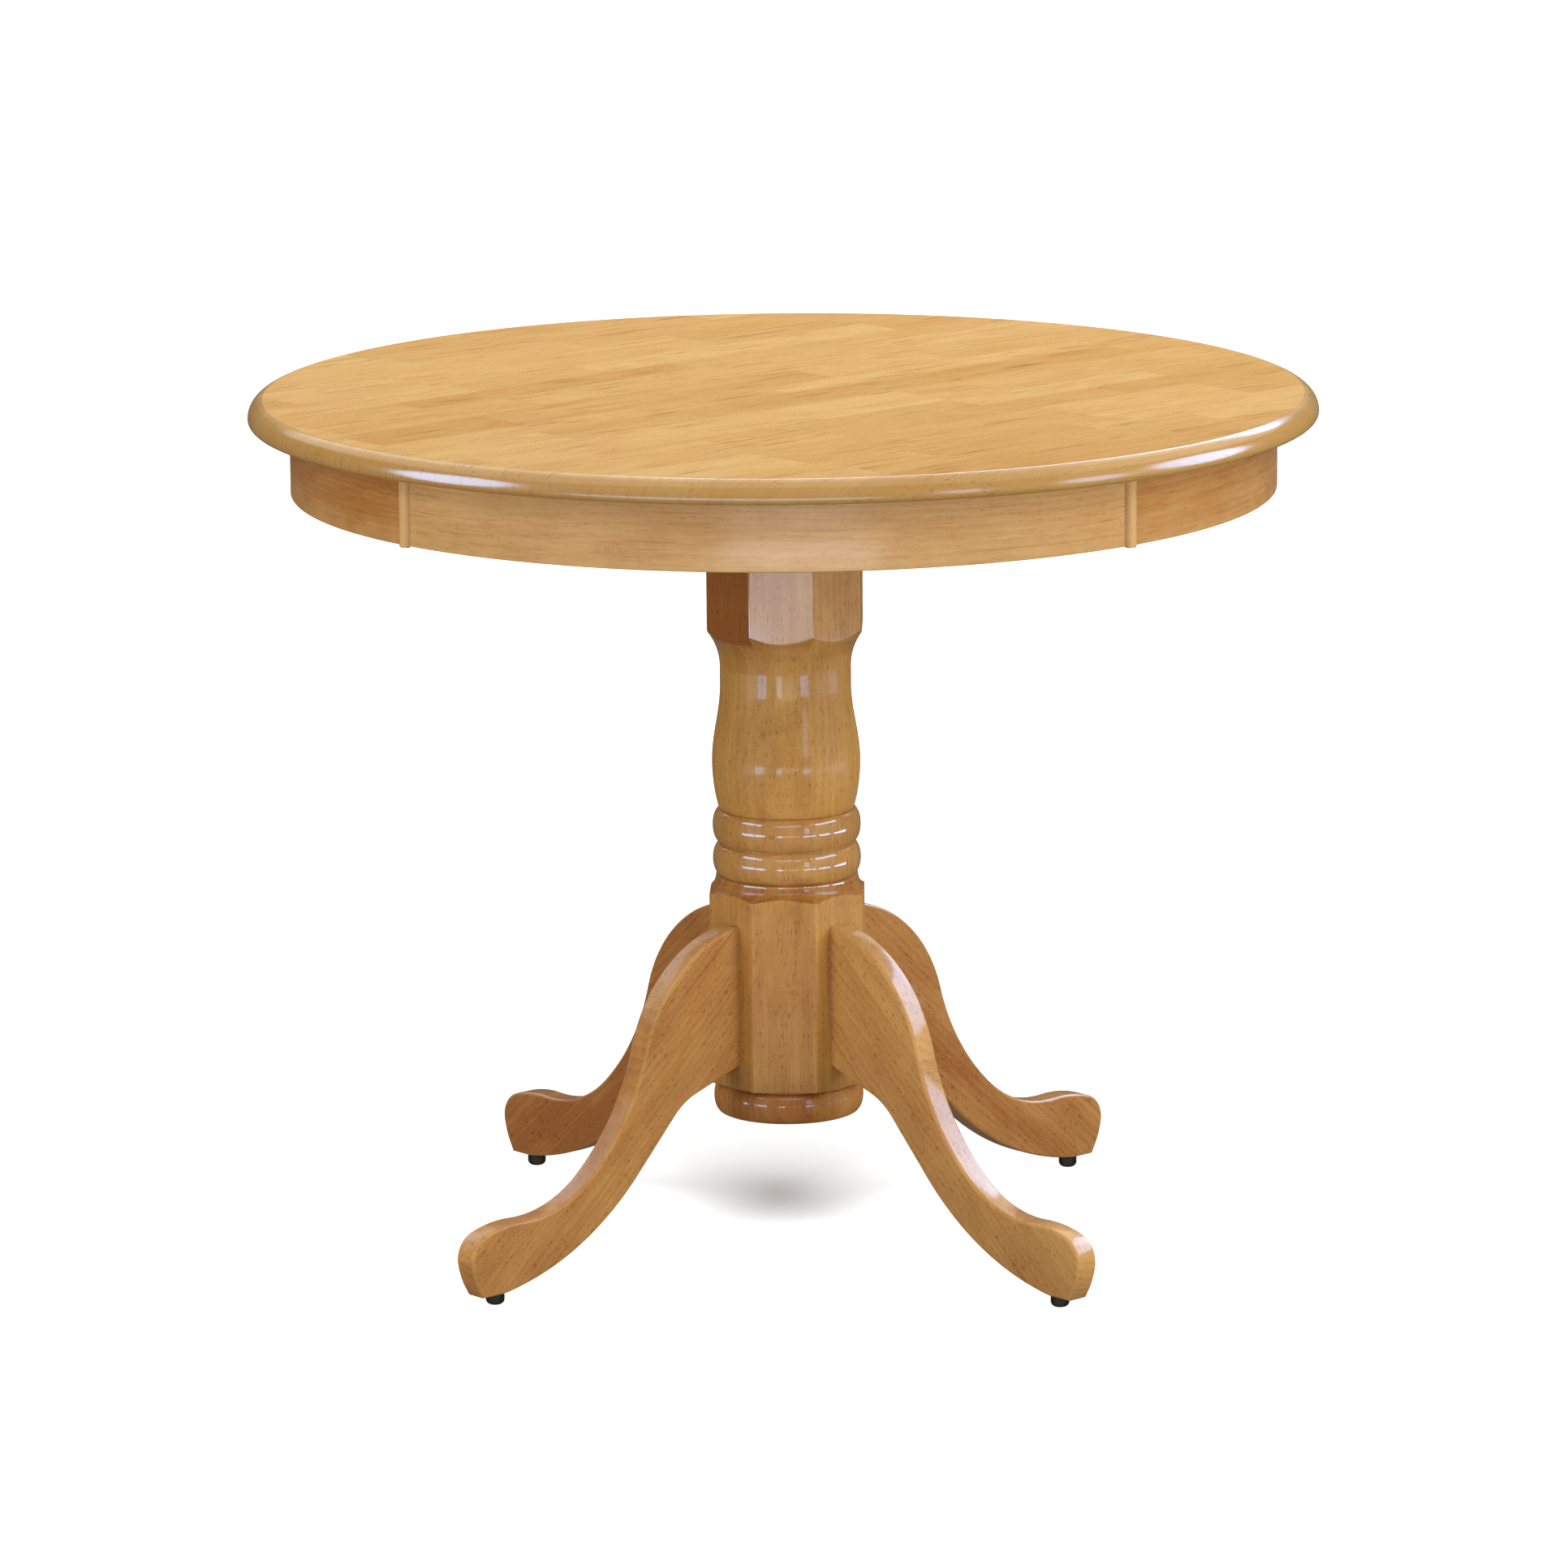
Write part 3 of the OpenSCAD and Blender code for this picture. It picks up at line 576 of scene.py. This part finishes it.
def stave_rows(block):
    """Rows of one stave's outer face, from the top down, as (radii, heights). block is the
    octagon's radius at each point of a row. The face follows the octagon, and the turning
    where that is smaller; rows run along the arris between the two, which is barely broken."""
    upper = COVE_Z + COVE_R * np.sin(np.arccos(1 - (block - NECK_R) / COVE_R))
    lower = (TURNING_END
             - FOOT_COVE_R * np.sin(np.arccos(1 - (block - FOOT_R) / FOOT_COVE_R)))
    close = np.array([1.6, 0.9, 0.45, 0.15, -0.15, -0.45, -0.9, -1.6]) * MM
    flat = np.ones_like(block)
    broken = 0.22 * MM                    # how much the arris is broken
    ease = 0.8 * MM

    def blunt(a, b):
        return (a + b - np.sqrt((a - b) ** 2 + broken ** 2)) / 2

    def between(z1, z0, steps):
        return [z1 + (z0 - z1) * t for t in np.linspace(0, 1, steps + 2)[1:-1]]

    rows = [(block - ease, flat * COLUMN_Z1), (block, flat * (COLUMN_Z1 - ease))]
    rows += [(block, z) for z in between(flat * (COLUMN_Z1 - ease), upper + close[0], 6)]
    upper_rows = [upper + c for c in close]
    upper_rows += between(upper + close[-1], flat * COVE_Z, 18)
    for z in upper_rows:
        lift = np.clip((z - COVE_Z) / COVE_R, 0, 1)
        rows.append((blunt(block, NECK_R + COVE_R * (1 - np.sqrt(1 - lift ** 2))), z))
    rows += [(flat * r, flat * z) for r, z in turning()]
    lower_rows = between(flat * TURNING_END, lower + close[0], 7)
    lower_rows += [lower + c for c in close]
    for z in lower_rows:
        fall = np.clip((TURNING_END - z) / FOOT_COVE_R, 0, 1)
        rows.append((blunt(block, FOOT_R + FOOT_COVE_R * (1 - np.sqrt(1 - fall ** 2))), z))
    shoulder = RING_Z + 2 * MM
    rows += [(block, z) for z in between(lower + close[-1], flat * (shoulder + ease), 8)]
    rows += [(block, flat * (shoulder + ease)), (block - ease, flat * shoulder),
             (flat * FOOT_R, flat * shoulder), (flat * FOOT_R, flat * RING_Z)]
    ring = half_round(RING_Z, COLUMN_Z0, FOOT_R - 3 * MM, BELLY_R + 0.8 * MM)
    return rows + [(flat * r, flat * z) for r, z in ring]


def stave_finish(radius, z, block, upper_tone, lower_tone, block_coat, vase_coat):
    """Tone and coat at each point of a stave, from its radius and height and from the
    octagon's radius there. All turned parts tend to one tone; the cove above the lower block
    and the base ring are painted deeper as shade, and the coat is thinner there."""
    above_lower_block = z > FOOT_COVE_END
    on_turning = np.clip((FLAT_R - radius) / (2 * MM), 0, 1) * above_lower_block
    on_shoulder = (z < TURNING_END - 3 * MM) & above_lower_block
    cove_shade = (np.clip((block - radius) / (0.6 * MM), 0, 1)
               * ((z < TURNING_END) & above_lower_block))
    on_vase = np.clip((z - TOP_GROOVE) / (4 * MM), 0, 1)
    on_vase *= np.clip((COVE_Z + 20 * MM - z) / (10 * MM), 0, 1)
    on_ring = z < RING_Z
    coat = block_coat + (1 - block_coat) * on_turning + (vase_coat - 1) * on_vase
    coat = coat * (1 - 0.65 * on_shoulder - 0.4 * on_ring)
    tone = np.where(z > COVE_Z, upper_tone, lower_tone)
    turned_tone = 0.45
    tone = tone + 0.7 * (turned_tone - tone) * on_turning
    # The vase is a little paler; the base ring and the cove above the lower block are deeper:
    # painted shade under the block's edge and in the cove
    return tone - 0.14 * on_vase + 0.3 * on_ring + 0.38 * cove_shade, coat


def column_stave(name, angle, number, *tones_and_coats):
    """One of the eight staves, hollow at its back, with a hairline at each glued joint."""
    reach = FLAT_R * math.tan(HALF_STAVE)
    near_edge = np.array([0, 0.25, 0.6, 1.1, 1.8, 3.0]) * MM
    middle = np.linspace(-reach + 5 * MM, reach - 5 * MM, 25)
    sideways = np.concatenate([-reach + near_edge, middle, reach - near_edge[::-1]])
    angles = np.arctan(sideways / FLAT_R)
    seam = 0.10 * MM * np.exp(-((reach - np.abs(sideways)) / (0.3 * MM)) ** 2)
    bore = FLAT_R - STAVE_T
    side = bore * math.tan(HALF_STAVE)
    loops = []
    for radii, heights in stave_rows(octagon_radius(angles)):
        radii = radii - seam
        skin = np.stack([radii * np.cos(angles), radii * np.sin(angles), heights], 1)
        back = [[bore, side, heights[-1]], [bore, -side, heights[0]]]
        loops.append(np.concatenate([skin, back]))
    points, faces = stacked_loops(loops)
    x, y, z = points.T
    radius = np.hypot(x, y)
    tone, coat = stave_finish(radius, z, octagon_radius(np.arctan2(y, x)), *tones_and_coats)
    # The octagon's corners are paled through edge: wear and a painted highlight along the arris
    arris = np.exp(-((reach - np.abs(np.append(sideways, [0, 0]))) / (1.0 * MM)) ** 2)
    edge = np.tile(arris * 0.8, len(loops)) * (radius > FLAT_R)
    grain = np.stack([z + 1.9 * number, y + 0.3 * number, x], 1)
    piece(f"{name}_wood", turned(points, angle), faces, COLUMN, name, grain,
          edge, tone, coat, sharp=50)


# ---------------------------------------------------------------- legs

def walk(start, heading, steps, pieces=26):
    """Points of a path of arcs; each step is its radius and how far it turns."""
    path, place = [np.array(start, float)], np.array(start, float)
    for radius, turn in steps:
        for k in range(1, pieces + 1):
            t = turn * k / pieces
            chord = 2 * radius * math.sin(math.radians(abs(t)) / 2)
            way = math.radians(heading + t / 2)
            path.append(place + chord * np.array([math.cos(way), math.sin(way)]))
        place = path[-1]
        heading += turn
    return np.array(path), heading


def clipped(path, floor):
    """The part of an open path above floor, cut exactly where it crosses."""
    kept = []
    for p, q in zip(path[:-1], path[1:]):
        if p[1] >= floor:
            kept.append(p)
        if (p[1] - floor) * (q[1] - floor) < 0:
            kept.append(p + (q - p) * (floor - p[1]) / (q[1] - p[1]))
    if path[-1][1] >= floor:
        kept.append(path[-1])
    return np.array(kept)


def leg_outline():
    """Upper edge from the column to the toe, then the foot and the lower edge back. It is
    drawn in millimetres and degrees and returned in metres."""
    knee = (FLAT_R / MM, LEG_TOP / MM)
    upper, _ = walk(knee, -7, [(127, -67.5), (202, 33.5), (108, 45), (109, -22), (23, -82),
                               (68, -33)])
    foot = FOOT_Z / MM
    toe = (GLIDE_R / MM + 2.5, foot - 0.6)
    sole, heading = walk(toe, 174, [(253, -40)])
    shank = 62.5
    way = math.radians(heading)
    start = sole[-1] + shank * np.array([math.cos(way), math.sin(way)])
    bend, heading = walk(start, heading, [(62, 28)])
    end = bend[-1]
    slope = math.tan(math.radians(180 - heading))
    last = [knee[0], end[1] + (end[0] - knee[0]) * slope]
    straight = [sole[-1] + (start - sole[-1]) * t for t in (0.25, 0.5, 0.75)]
    run = [end + (last - end) * t for t in (0.33, 0.67)]
    lower = np.concatenate([sole, straight, bend, run, [last]])
    return np.concatenate([clipped(upper, foot), clipped(lower, foot)]) * MM


def inward(path):
    """How far each point moves for an inset of 1; both ends slide along the column."""
    step = np.diff(path, axis=0)
    step /= np.linalg.norm(step, axis=1)[:, None]
    normal = np.stack([step[:, 1], -step[:, 0]], 1)
    before, after = np.vstack([normal[:1], normal]), np.vstack([normal, normal[-1:]])
    both = before + after
    least = 0.6                           # keeps a sharp corner from moving too far
    move = both / np.maximum((both * before).sum(1), least)[:, None]
    move[0] = [0, -1 / abs(normal[0][1])]
    move[-1] = [0, 1 / abs(normal[-1][1])]
    return move


def leg(corner, angle, number, tone, coat):
    """An S-shaped board, its long edges rounded over and its foot cut flat."""
    thick = 22 * MM
    steps = 6
    path = leg_outline()
    move = inward(path)
    # The rounding is smaller under the foot, and changes over a few points
    on_foot = path[:, 1] < FOOT_Z + 0.2 * MM
    ease = np.where(on_foot, 1.2, 3.0) * MM
    few = 7
    ease = np.convolve(np.pad(ease, few // 2, mode="edge"), np.ones(few) / few, mode="valid")
    ease = ease[:, None]
    loops, edges = [], []
    for side in (1, -1):
        for k in range(steps + 1):
            a = math.pi / 2 * k / steps if side < 0 else math.pi / 2 * (1 - k / steps)
            flat = path + move * ease * (1 - math.cos(a))
            y = side * (thick / 2 - ease[:, 0] * (1 - math.sin(a)))
            loops.append(np.stack([flat[:, 0], y, flat[:, 1]], 1))
            # edge peaks midway round each rounding, where the paling is wear and a painted
            # highlight
            edges.append(np.full(len(path), math.sin(2 * a)))
    points, faces = stacked_loops(loops)
    slant = math.radians(-41)             # the grain's way, down and out along the leg
    x, y, z = points.T
    grain = np.stack([x * math.cos(slant) + z * math.sin(slant) + 3.1 * number,
                      z * math.cos(slant) - x * math.sin(slant) + 0.9 * number, y], 1)
    piece(f"leg_{corner}_board", turned(points, angle), faces, LEG, f"leg_{corner}",
          grain, np.concatenate(edges), tone, coat, sharp=35)


# ---------------------------------------------------------------- glides

def glide(corner, angle):
    """Domed plastic glide, its upper edge broken against the foot."""
    radius, dome = 8 * MM, 4.5 * MM
    skin = arc((radius - dome, dome), dome, -90, 0, 12)
    outline = [(0, 0), *skin, (radius, FOOT_Z - 0.3 * MM), (radius - 0.3 * MM, FOOT_Z),
               (0, FOOT_Z)]
    points, faces = revolved(outline, 64)
    points = turned(points + [GLIDE_R, 0, 0], angle)
    piece(f"glide_{corner}_cap", points, faces, PLASTIC, f"glide_{corner}",
          sharp=50)


# ---------------------------------------------------------------- making the table

# Tone and coat of each apron board and leg. The left and right apron boards and the two back
# legs are deeper in tone than the others: painted shade.
APRON_SHADED_LOOKS = {"front": (0.46, 1.0), "right": (0.78, 0.5), "back": (0.55, 1.0),
               "left": (0.92, 0.4)}
LEG_SHADED_LOOKS = {"front_left": (0.34, 0.5), "front_right": (0.30, 1.0), "back_right": (0.70, 1.0),
             "back_left": (1.02, 1.0)}
# Each stave's direction, its tones above and below the cove under the upper block, and its
# coats on the blocks and on the vase. The front left stave is deeper above the cove: painted
# shade on the upper block's left facet under the top. The front right stave is paler: painted
# light on its facets.
STAVES = {
    "front": (270, 0.52, 0.50, 1.0, 0.30),
    "front_right": (315, 0.36, 0.36, 0.08, 0.04),
    "right": (0, 0.50, 0.50, 0.1, 0.05),
    "back_right": (45, 0.6, 0.6, 0.2, 0.06),
    "back": (90, 0.5, 0.5, 0.2, 0.06),
    "back_left": (135, 0.4, 0.4, 0.15, 0.06),
    "left": (180, 0.55, 0.55, 0.1, 0.05),
    "front_left": (225, 1.08, 0.50, 1.0, 0.05),
}

table_top()
for number, (side, angle) in enumerate(SIDES.items()):
    apron_segment(side, angle, number, *APRON_SHADED_LOOKS[side])
for number, (corner, angle) in enumerate(CORNERS.items()):
    apron_bead(corner, angle, number)
for number, (side, (angle, *looks)) in enumerate(STAVES.items()):
    column_stave(f"column_stave_{side}", angle, number, *looks)
for number, (corner, angle) in enumerate(CORNERS.items()):
    leg(corner, angle, number, *LEG_SHADED_LOOKS[corner])
    glide(corner, angle)

# The CAD nodes that keep their shape
FINISHES = {
    "hidden_wood": (HIDDEN, ["mounting_plate", "column_head_block", "leg_dowels",
                             *(f"apron_block_{corner}" for corner in CORNERS)]),
    "zinc_steel": (ZINC, ["apron_screws", "plate_bolts", "plate_washers", "plate_screws",
                          "leg_hanger_bolts", "leg_washers", "leg_spring_washers",
                          "leg_nuts", "glide_nails"]),
    "insert_brass": (BRASS, ["plate_inserts"]),
}
for slot, (material, nodes) in FINISHES.items():
    for name in nodes:
        kept = frame["nodes"][name]
        kept.data.materials.clear()
        kept.data.materials.append(material)


# ---------------------------------------------------------------- studio

def floor():
    """A plain pale floor. The table doesn't see it, so that its own light can wash it white."""
    mesh = bpy.data.meshes.new("floor")
    half = 40.0
    mesh.from_pydata([(-half, -half, 0), (half, -half, 0), (half, half, 0), (-half, half, 0)],
                     [], [(0, 1, 2, 3)])
    g = Graph("floor_white")
    mesh.materials.append(g.set(Base_Color=(0.93, 0.965, 0.985, 1), Roughness=0.9,
                                Specular_IOR_Level=0.0))
    made = bpy.data.objects.new("floor", mesh)
    bpy.context.scene.collection.objects.link(made)
    made.visible_diffuse = False
    made.visible_glossy = False
    made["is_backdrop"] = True
    return made


def named(*beginnings):
    """The pieces whose names begin so."""
    return [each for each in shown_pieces() if each.name.startswith(beginnings)]


def collected(name, objects, state="INCLUDE"):
    """A collection that tells a light which objects it works on, or leaves out."""
    group = bpy.data.collections.new(name)
    for each in objects:
        group.objects.link(each)
    for member in group.collection_objects:
        member.light_linking.link_state = state
    return group


def lamp_from(name, kind, azimuth, distance, height, aim):
    """A lamp at azimuth, which is 0 at the front and grows to the right, aimed at the
    table's axis at the height aim."""
    a = math.radians(azimuth)
    place = Vector((distance * math.sin(a), -distance * math.cos(a), height))
    lamp = bpy.data.objects.new(name, bpy.data.lights.new(name, kind))
    bpy.context.scene.collection.objects.link(lamp)
    lamp.location = place
    lamp.rotation_euler = (Vector((0, 0, aim)) - place).to_track_quat("-Z", "Y").to_euler()
    lamp.visible_camera = False
    return lamp


def soft_box(name, azimuth, distance, height, size, brightness, aim=0.6,
             colour=(1, 1, 1), on=None, shape="RECTANGLE"):
    """A soft box that never lights the floor, and only what on says where that is given;
    size is its width and height, and brightness the radiance of its face."""
    lamp = lamp_from(name, "AREA", azimuth, distance, height, aim)
    lamp.data.shape = shape
    lamp.data.size, lamp.data.size_y = size
    area = size[0] * size[1] * (math.pi / 4 if shape == "ELLIPSE" else 1)
    lamp.data.energy = brightness * math.pi * area
    lamp.data.color = colour
    lamp.light_linking.receiver_collection = on or TABLE_ONLY
    return lamp


def fill(*where):
    """A soft box that lights the wood but isn't mirrored in its lacquer."""
    soft_box(*where, colour=(0.92, 0.97, 1.0)).visible_glossy = False


def shine(on, *where, shape="RECTANGLE"):
    """A cool soft box that is only mirrored in the lacquer."""
    soft_box(*where, colour=(0.38, 0.60, 1.0), on=on, shape=shape).visible_diffuse = False


def floor_glow(azimuth, distance, size, brightness):
    """A bright patch of floor in front: it lights the whole table from below, and the
    upright faces at the front mirror it. The two lamps would hide each other at one height."""
    colour = (0.86, 0.91, 1.0)
    for name, height, on in (("glow_light", 0.01, TABLE_ONLY),
                             ("glow_mirrored", 0.02, FRONT_ONLY)):
        lamp = soft_box(name, azimuth, distance, height, size, brightness, 0.5, colour, on)
        lamp.rotation_euler = (math.pi, 0, math.radians(azimuth))
        lamp.visible_glossy = name == "glow_mirrored"
        lamp.visible_diffuse = name == "glow_light"


def floor_wash(azimuth, elevation, spread, brightness, blockers):
    """Light for the floor alone, which only the blockers cast shadows in. brightness is
    what it adds to a white floor, and spread is the angle across the sun."""
    rise = math.radians(elevation)
    away = 4.0                            # a sun's distance only sets its direction
    lamp = lamp_from("floor_wash", "SUN", azimuth, away * math.cos(rise),
                     away * math.sin(rise), 0.0)
    lamp.data.angle = math.radians(spread)
    lamp.data.energy = brightness * math.pi / math.sin(rise)
    lamp.light_linking.receiver_collection = FLOOR_ONLY
    lamp.light_linking.blocker_collection = collected("floor_wash_blockers", blockers)


def world(background, behind, before):
    """White for the camera; for the table, a soft light from the front that dims behind."""
    made = bpy.data.worlds.new("studio")
    bpy.context.scene.world = made
    made.use_nodes = True
    nodes, links = made.node_tree.nodes, made.node_tree.links

    def mixed(factor, a, b):
        mix = nodes.new("ShaderNodeMix")
        mix.data_type = "RGBA"
        links.new(factor, mix.inputs[0])
        for socket, value in ((mix.inputs[6], a), (mix.inputs[7], b)):
            if isinstance(value, bpy.types.NodeSocket):
                links.new(value, socket)
            else:
                socket.default_value = value
        return mix.outputs[2]

    way = nodes.new("ShaderNodeSeparateXYZ")
    links.new(nodes.new("ShaderNodeTexCoord").outputs["Generated"], way.inputs[0])
    # How far a direction points to the front, from just behind sideways to nearly straight
    front = nodes.new("ShaderNodeMapRange")
    front.interpolation_type = "SMOOTHSTEP"
    front.inputs["From Min"].default_value = 0.1
    front.inputs["From Max"].default_value = -0.85
    links.new(way.outputs["Y"], front.inputs["Value"])
    seen = nodes.new("ShaderNodeLightPath").outputs["Is Camera Ray"]
    light = mixed(seen, mixed(front.outputs["Result"], behind, before), background)
    links.new(light, nodes["Background"].inputs["Color"])


def camera():
    """A long lens, far in front of the table and a little above it."""
    data = bpy.data.cameras.new("camera")
    data.sensor_width = 36.0
    data.lens = 196.2
    data.clip_end = 100.0
    made = bpy.data.objects.new("camera", data)
    bpy.context.scene.collection.objects.link(made)
    aside, distance, height = -2 * MM, 7.211, 1.8986
    pitch, roll, azimuth = math.radians(-11.745), math.radians(-0.472), math.radians(2.715)
    # Looking along +Y and down, rolled, then swung round the table to its azimuth
    made.matrix_world = (Matrix.Rotation(azimuth, 4, "Z")
                         @ Matrix.Translation((aside, -distance, height))
                         @ Matrix.Rotation(math.pi / 2 + pitch, 4, "X")
                         @ Matrix.Rotation(roll, 4, "Z"))
    bpy.context.scene.camera = made


FLOOR = floor()
FLOOR_ONLY = collected("floor_only", [FLOOR])
TABLE_ONLY = collected("table_only", [FLOOR], "EXCLUDE")
LEGS_ONLY = collected("legs_only", named("leg"))
FRONT_ONLY = collected("front_only", named("column", "apron_front"))
RIM_ONLY = collected("rim_only", named("top"))
COLUMN_ONLY = collected("column_only", named("column"))

world(background=(1, 1, 1, 1), behind=(0.14, 0.12, 0.10, 1), before=(0.53, 0.50, 0.45, 1))
# Azimuth, elevation, spread, brightness
floor_wash(6, 46, 42, 1.0, named("column"))
floor_wash(0, 70, 30, 0.36, named("leg", "glide"))

# Name, azimuth, distance, height, size, brightness
soft_box("overhead", 180, 0.8, 3.2, (6.5, 5.5), 1.26, aim=0.7)
fill("fill_left", -58, 2.6, 0.9, (1.4, 0.7), 6.4)
fill("fill_right", 68, 2.6, 0.9, (1.8, 0.7), 8.0)
fill("fill_upper_left", -45, 3.0, 2.4, (1.6, 0.6), 5.5)
fill("fill_upper_right", 50, 3.0, 2.4, (2.6, 0.6), 4.5)
fill("fill_right_back", 120, 2.6, 2.3, (2.8, 1.3), 1.9)
floor_glow(6, 3.0, (1.7, 1.2), 4.3)
fill("fill_back_left", -150, 3.0, 1.2, (2.0, 1.2), 3.0)
fill("fill_back_right", 150, 3.0, 1.2, (2.0, 1.2), 3.0)
# The sheen on the legs' upper edges
shine(LEGS_ONLY, "side_left", -115, 2.6, 2.2, (3.0, 1.6), 1.5)
shine(LEGS_ONLY, "side_right", 110, 2.6, 2.2, (3.6, 1.8), 8.0)
# The glint along the rim: a line at its arris, broad ones to the left and right, and a
# line at its foot
shine(RIM_ONLY, "rim_back", 166, 4.0, 2.75, (3.2, 0.7), 10.0)
shine(RIM_ONLY, "rim_left", -68, 3.0, 1.45, (1.6, 1.9), 17.0, shape="ELLIPSE")
shine(RIM_ONLY, "rim_right", 98, 3.0, 1.4, (1.6, 1.6), 15.0, shape="ELLIPSE")
shine(RIM_ONLY, "rim_middle", 67, 3.0, 1.1, (0.8, 1.0), 9.0, shape="ELLIPSE")
shine(RIM_ONLY, "rim_inner", 38, 3.0, 1.1, (0.5, 0.8), 9.0, shape="ELLIPSE")
shine(RIM_ONLY, "rim_low", -10, 3.0, 0.62, (3.6, 0.3), 9.0)
# The sheen of the column: upright facets and the lower halves of the beads mirror boxes near
# the floor, and the upper halves mirror higher boxes that the table's top doesn't hide
shine(COLUMN_ONLY, "low_left", -50, 2.0, 0.10, (1.4, 0.20), 17.0)
shine(COLUMN_ONLY, "low_glow", -8, 2.0, 0.08, (0.3, 0.16), 14.0)
shine(COLUMN_ONLY, "low_inner", 38, 2.0, 0.08, (0.7, 0.14), 16.0)
shine(COLUMN_ONLY, "low_middle", 63, 2.0, 0.08, (0.7, 0.15), 20.0)
shine(COLUMN_ONLY, "low_right", 93, 2.0, 0.07, (0.9, 0.14), 26.0)
shine(COLUMN_ONLY, "high_left", -60, 3.0, 2.35, (2.0, 0.8), 14.0)
shine(COLUMN_ONLY, "high_middle", 5, 3.0, 2.35, (2.4, 0.6), 5.0)
shine(COLUMN_ONLY, "high_right", 75, 3.0, 2.35, (2.4, 0.8), 14.0)
shine(COLUMN_ONLY, "vase_right", 34, 2.6, 0.85, (0.35, 0.9), 6.0)
camera()
bpy.context.scene.view_settings.view_transform = "Standard"
